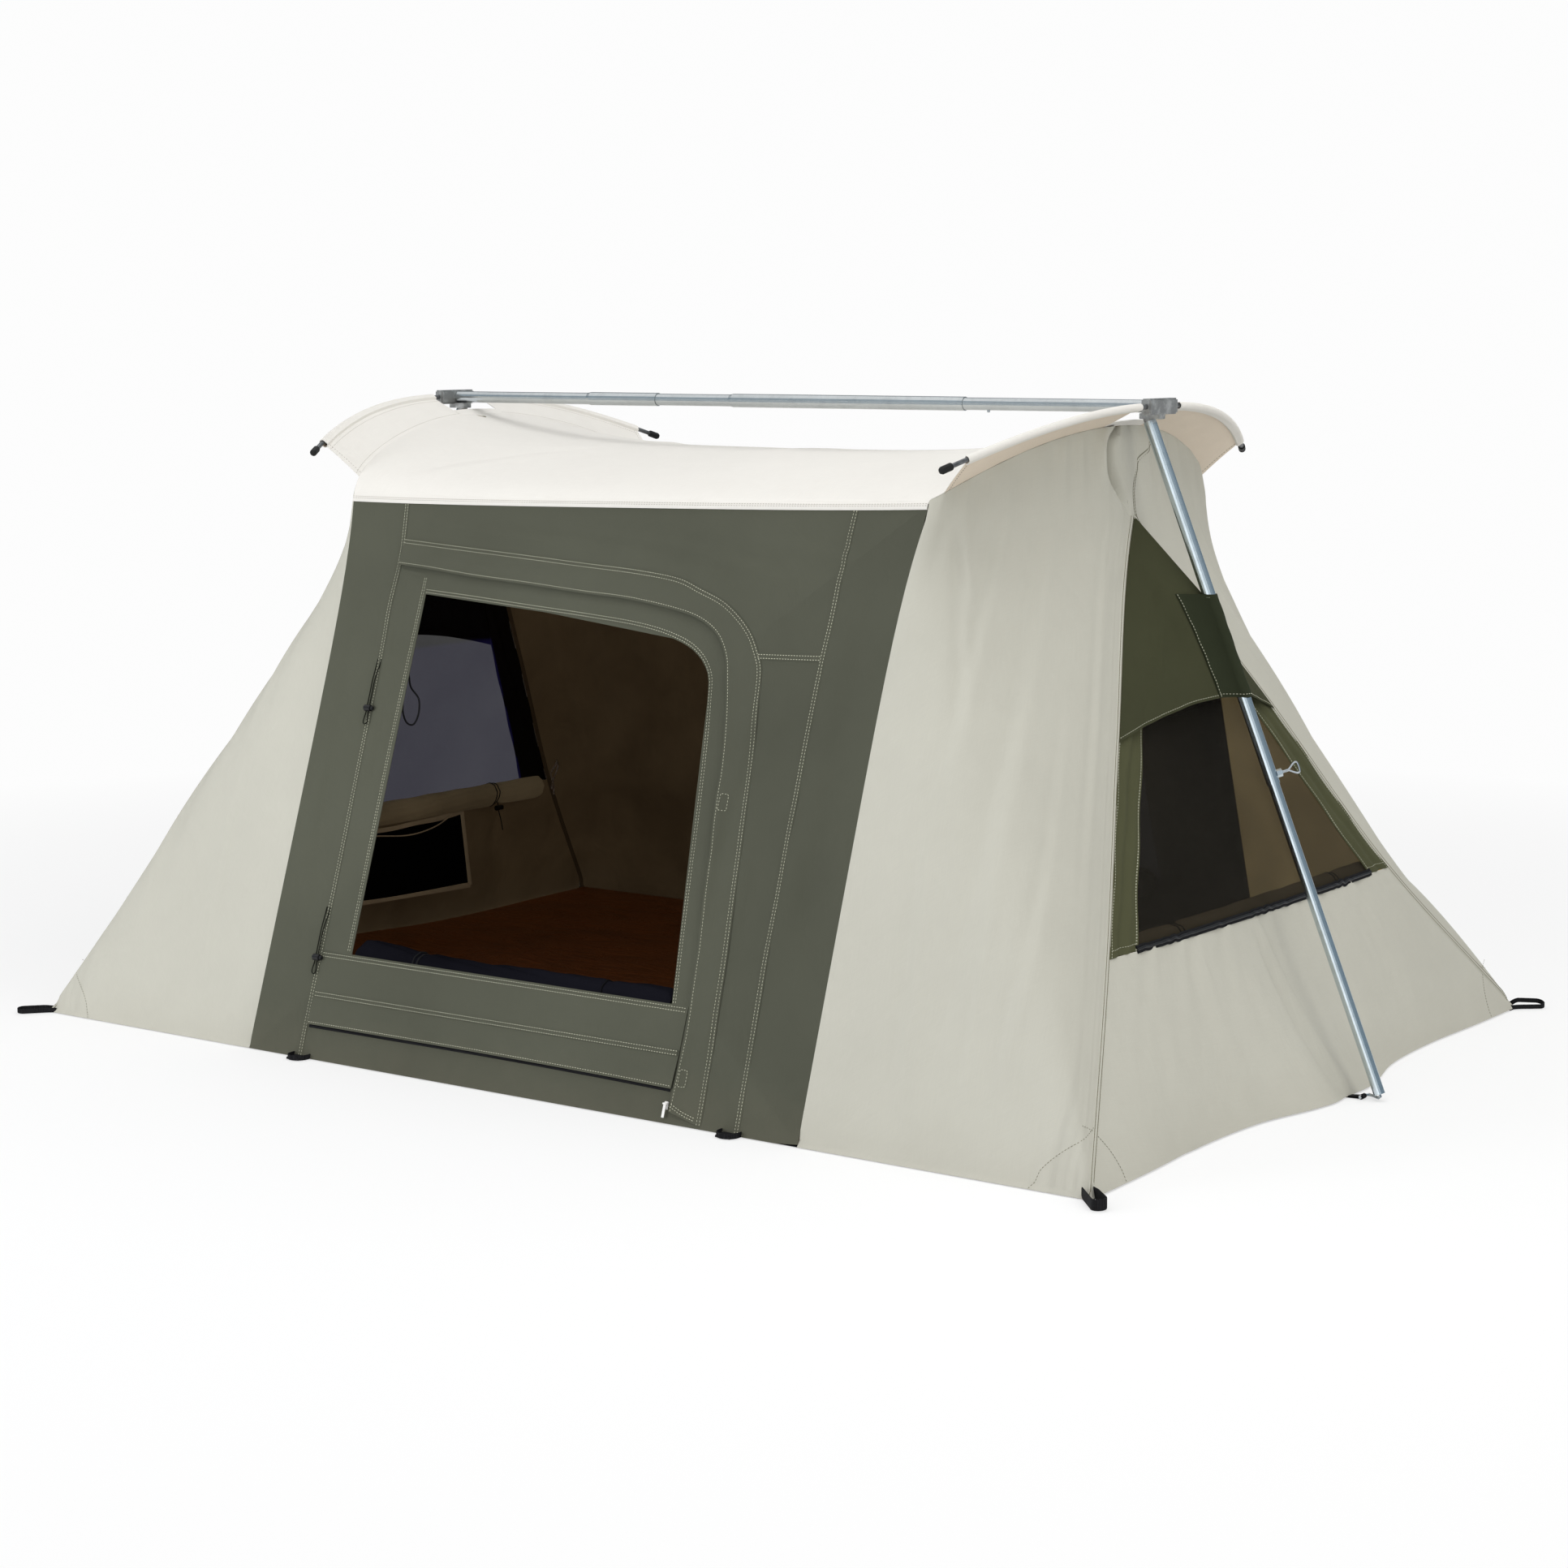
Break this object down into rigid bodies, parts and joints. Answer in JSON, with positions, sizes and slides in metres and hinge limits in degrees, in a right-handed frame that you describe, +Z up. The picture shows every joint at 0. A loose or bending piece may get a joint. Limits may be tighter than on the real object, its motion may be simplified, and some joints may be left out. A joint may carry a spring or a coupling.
{
  "type": "canvas tent",
  "caption": "Canvas spring-bow tent with a ridge pole, end legs, mesh windows under awnings, a cut-out front door and a sewn-in floor.",
  "frame": {"origin": "middle of the tent's base on the ground", "axes": "+X to the right along the ridge pole, +Y to the rear door, +Z up; the front door faces -Y"},
  "size_m": [2.8178, 1.9338, 1.3225],
  "materials": {
    "roof_canvas": "undyed cream canvas",
    "wall_canvas": "tan canvas",
    "door_canvas": "grey-green canvas",
    "trim_canvas": "dark olive canvas",
    "screen": "fine black insect mesh",
    "floor_vinyl": "rust-brown vinyl-coated cloth",
    "webbing": "black webbing",
    "dark_cloth": "dark rolled cloth",
    "tube_steel": "galvanised steel tube",
    "cast_alloy": "raw sand-cast aluminium",
    "spring_steel": "black coated spring steel rod",
    "rubber": "black rubber cap",
    "black_plastic": "moulded black plastic",
    "white_plastic": "moulded white plastic",
    "cord": "dark braided cord"
  },
  "bodies": {
    "tent": {"bow_cap_left_front": "rubber", "bow_cap_left_rear": "rubber", "bow_cap_right_front": "rubber", "bow_cap_right_rear": "rubber", "bow_rod_left_front": "spring_steel", "bow_rod_left_rear": "spring_steel", "bow_rod_right_front": "spring_steel", "bow_rod_right_rear": "spring_steel", "bow_wing_left": "roof_canvas", "bow_wing_right": "roof_canvas", "corner_panel_left_front": "wall_canvas", "corner_panel_left_rear": "wall_canvas", "corner_panel_right_front": "wall_canvas", "corner_panel_right_rear": "wall_canvas", "door_panel_front": "door_canvas", "door_panel_rear": "door_canvas", "door_roll_front": "dark_cloth", "door_roll_rear": "dark_cloth", "end_wall_left": "wall_canvas", "end_wall_right": "wall_canvas", "floor_sheet": "floor_vinyl", "foot_pin_left": "tube_steel", "foot_pin_right": "tube_steel", "foot_strap_left": "webbing", "foot_strap_right": "webbing", "hood_left": "trim_canvas", "hood_right": "trim_canvas", "pole_sleeve_left": "trim_canvas", "pole_sleeve_right": "trim_canvas", "rear_door_screen": "screen", "ridge_casting_left": "cast_alloy", "ridge_casting_right": "cast_alloy", "ridge_tube_left": "tube_steel", "ridge_tube_middle": "tube_steel", "ridge_tube_right": "tube_steel", "roof_canvas": "roof_canvas", "stake_webbing_front": "webbing", "stake_webbing_rear": "webbing", "tie_cord_lower": "cord", "tie_cord_upper": "cord", "window_border_left": "trim_canvas", "window_border_right": "trim_canvas", "window_roll_left": "wall_canvas", "window_roll_right": "wall_canvas", "window_screen_left": "screen", "window_screen_right": "screen"},
    "left_leg": {"leg_upper_left": "tube_steel"},
    "right_leg": {"leg_upper_right": "tube_steel"},
    "left_leg_extension": {"leg_lower_left": "tube_steel"},
    "right_leg_extension": {"leg_lower_right": "tube_steel"},
    "left_thumbscrew": {"thumbscrew_left": "tube_steel"},
    "right_thumbscrew": {"thumbscrew_right": "tube_steel"},
    "ridge_button": {"ridge_button": "tube_steel"},
    "upper_cord_lock": {"cord_lock_upper": "black_plastic"},
    "lower_cord_lock": {"cord_lock_lower": "black_plastic"},
    "upper_plunger": {"cord_plunger_upper": "black_plastic"},
    "lower_plunger": {"cord_plunger_lower": "black_plastic"},
    "zip_slider": {"zip_slider": "white_plastic"},
    "zip_pull": {"zip_pull": "white_plastic"}
  },
  "joints": [
    {"name": "left_leg_swivel", "type": "hinge", "parent": "tent", "child": "left_leg", "pos_m": [-0.878, 0, 1.29], "axis": [0.3776, 0, 0.926], "continuous": true},
    {"name": "left_leg_extension_slide", "type": "slide", "parent": "left_leg", "child": "left_leg_extension", "axis": [0.3776, 0, 0.926], "range_m": [0, 0.45]},
    {"name": "left_thumbscrew_turn", "type": "hinge", "parent": "left_leg", "child": "left_thumbscrew", "pos_m": [-1.15702, 0, 0.6057], "axis": [-0.7336, 0.6102, 0.2991], "range_deg": [-360, 360]},
    {"name": "right_leg_swivel", "type": "hinge", "parent": "tent", "child": "right_leg", "pos_m": [0.878, 0, 1.29], "axis": [-0.3776, 0, 0.926], "continuous": true},
    {"name": "right_leg_extension_slide", "type": "slide", "parent": "right_leg", "child": "right_leg_extension", "axis": [-0.3776, 0, 0.926], "range_m": [0, 0.45]},
    {"name": "right_thumbscrew_turn", "type": "hinge", "parent": "right_leg", "child": "right_thumbscrew", "pos_m": [1.15702, 0, 0.6057], "axis": [0.7336, 0.6102, 0.2991], "range_deg": [-360, 360]},
    {"name": "ridge_button_press", "type": "slide", "parent": "tent", "child": "ridge_button", "axis": [0, 0, 1], "range_m": [0, 0.004], "stiffness_N_per_m": 1500, "springref_m": -0.003},
    {"name": "upper_cord_lock_slide", "type": "slide", "parent": "tent", "child": "upper_cord_lock", "axis": [0, 0.3216, 0.9469], "range_m": [0, 0.045]},
    {"name": "upper_plunger_press", "type": "slide", "parent": "upper_cord_lock", "child": "upper_plunger", "axis": [-1, 0, 0], "range_m": [0, 0.003], "stiffness_N_per_m": 800, "springref_m": -0.002},
    {"name": "lower_cord_lock_slide", "type": "slide", "parent": "tent", "child": "lower_cord_lock", "axis": [0, 0.3216, 0.9469], "range_m": [0, 0.045]},
    {"name": "lower_plunger_press", "type": "slide", "parent": "lower_cord_lock", "child": "lower_plunger", "axis": [-1, 0, 0], "range_m": [0, 0.003], "stiffness_N_per_m": 800, "springref_m": -0.002},
    {"name": "zip_slider_run", "type": "slide", "parent": "tent", "child": "zip_slider", "axis": [0, 0.3216, 0.9469], "range_m": [0, 0.5]},
    {"name": "zip_pull_flip", "type": "hinge", "parent": "zip_slider", "child": "zip_pull", "pos_m": [0.385, -0.91034, 0.03713], "axis": [-1, 0, 0], "range_deg": [0, 170]}
  ]
}
